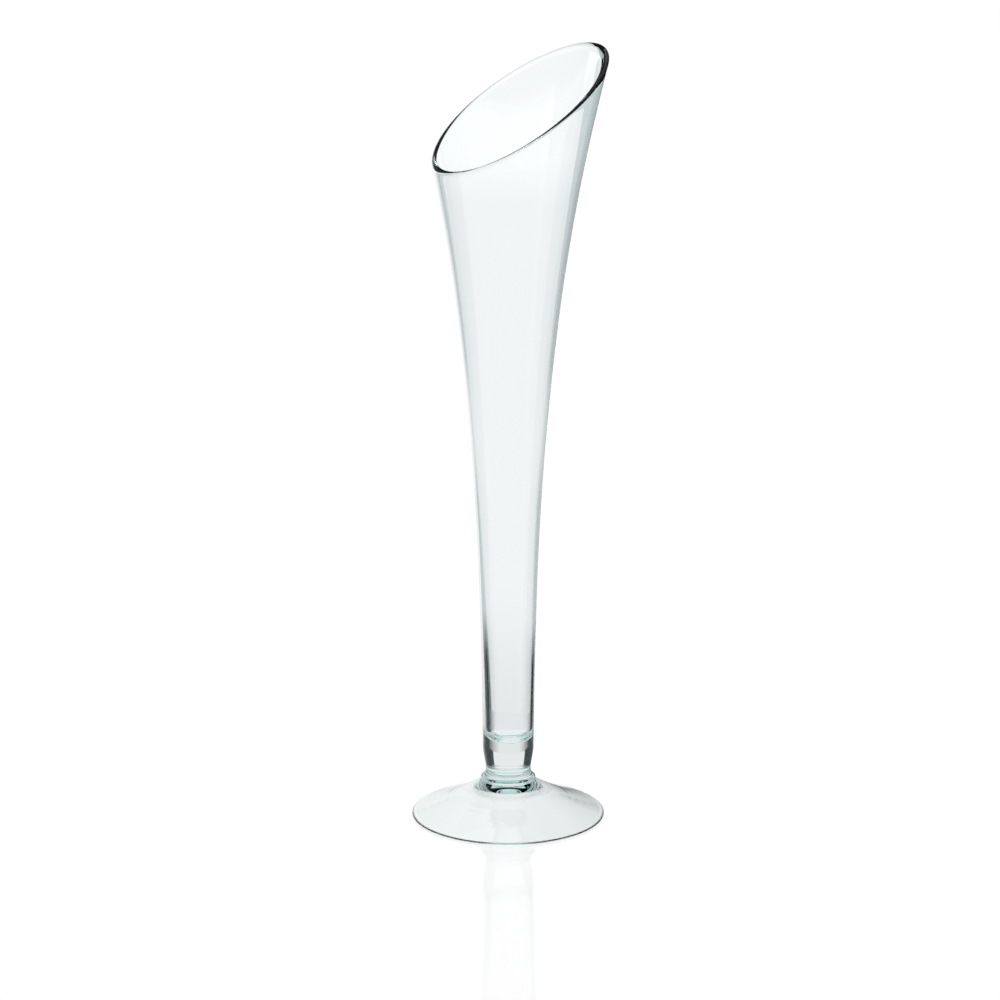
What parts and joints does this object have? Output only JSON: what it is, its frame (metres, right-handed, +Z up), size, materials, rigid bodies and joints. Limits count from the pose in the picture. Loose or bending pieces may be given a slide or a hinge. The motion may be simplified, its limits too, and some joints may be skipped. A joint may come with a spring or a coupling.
{
  "type": "flower vase",
  "caption": "Tall slim clear glass flower vase: trumpet bowl with a slanted mouth on a merese and a round domed foot.",
  "frame": {"origin": "centre of the foot, on the surface that the vase stands on", "axes": "+Z up along the vase's axis, +X towards the high side of the slanted mouth, +Y to the side, with the vase alike on both sides of the XZ plane"},
  "size_m": [0.1259, 0.1244, 0.4984],
  "materials": {
    "bowl_glass": "clear polished glass, faint green in depth",
    "merese_glass": "clear fire-polished glass",
    "foot_glass": "clear fire-polished glass"
  },
  "bodies": {
    "root": {"bowl": "bowl_glass", "merese": "merese_glass", "foot": "foot_glass"}
  },
  "joints": []
}
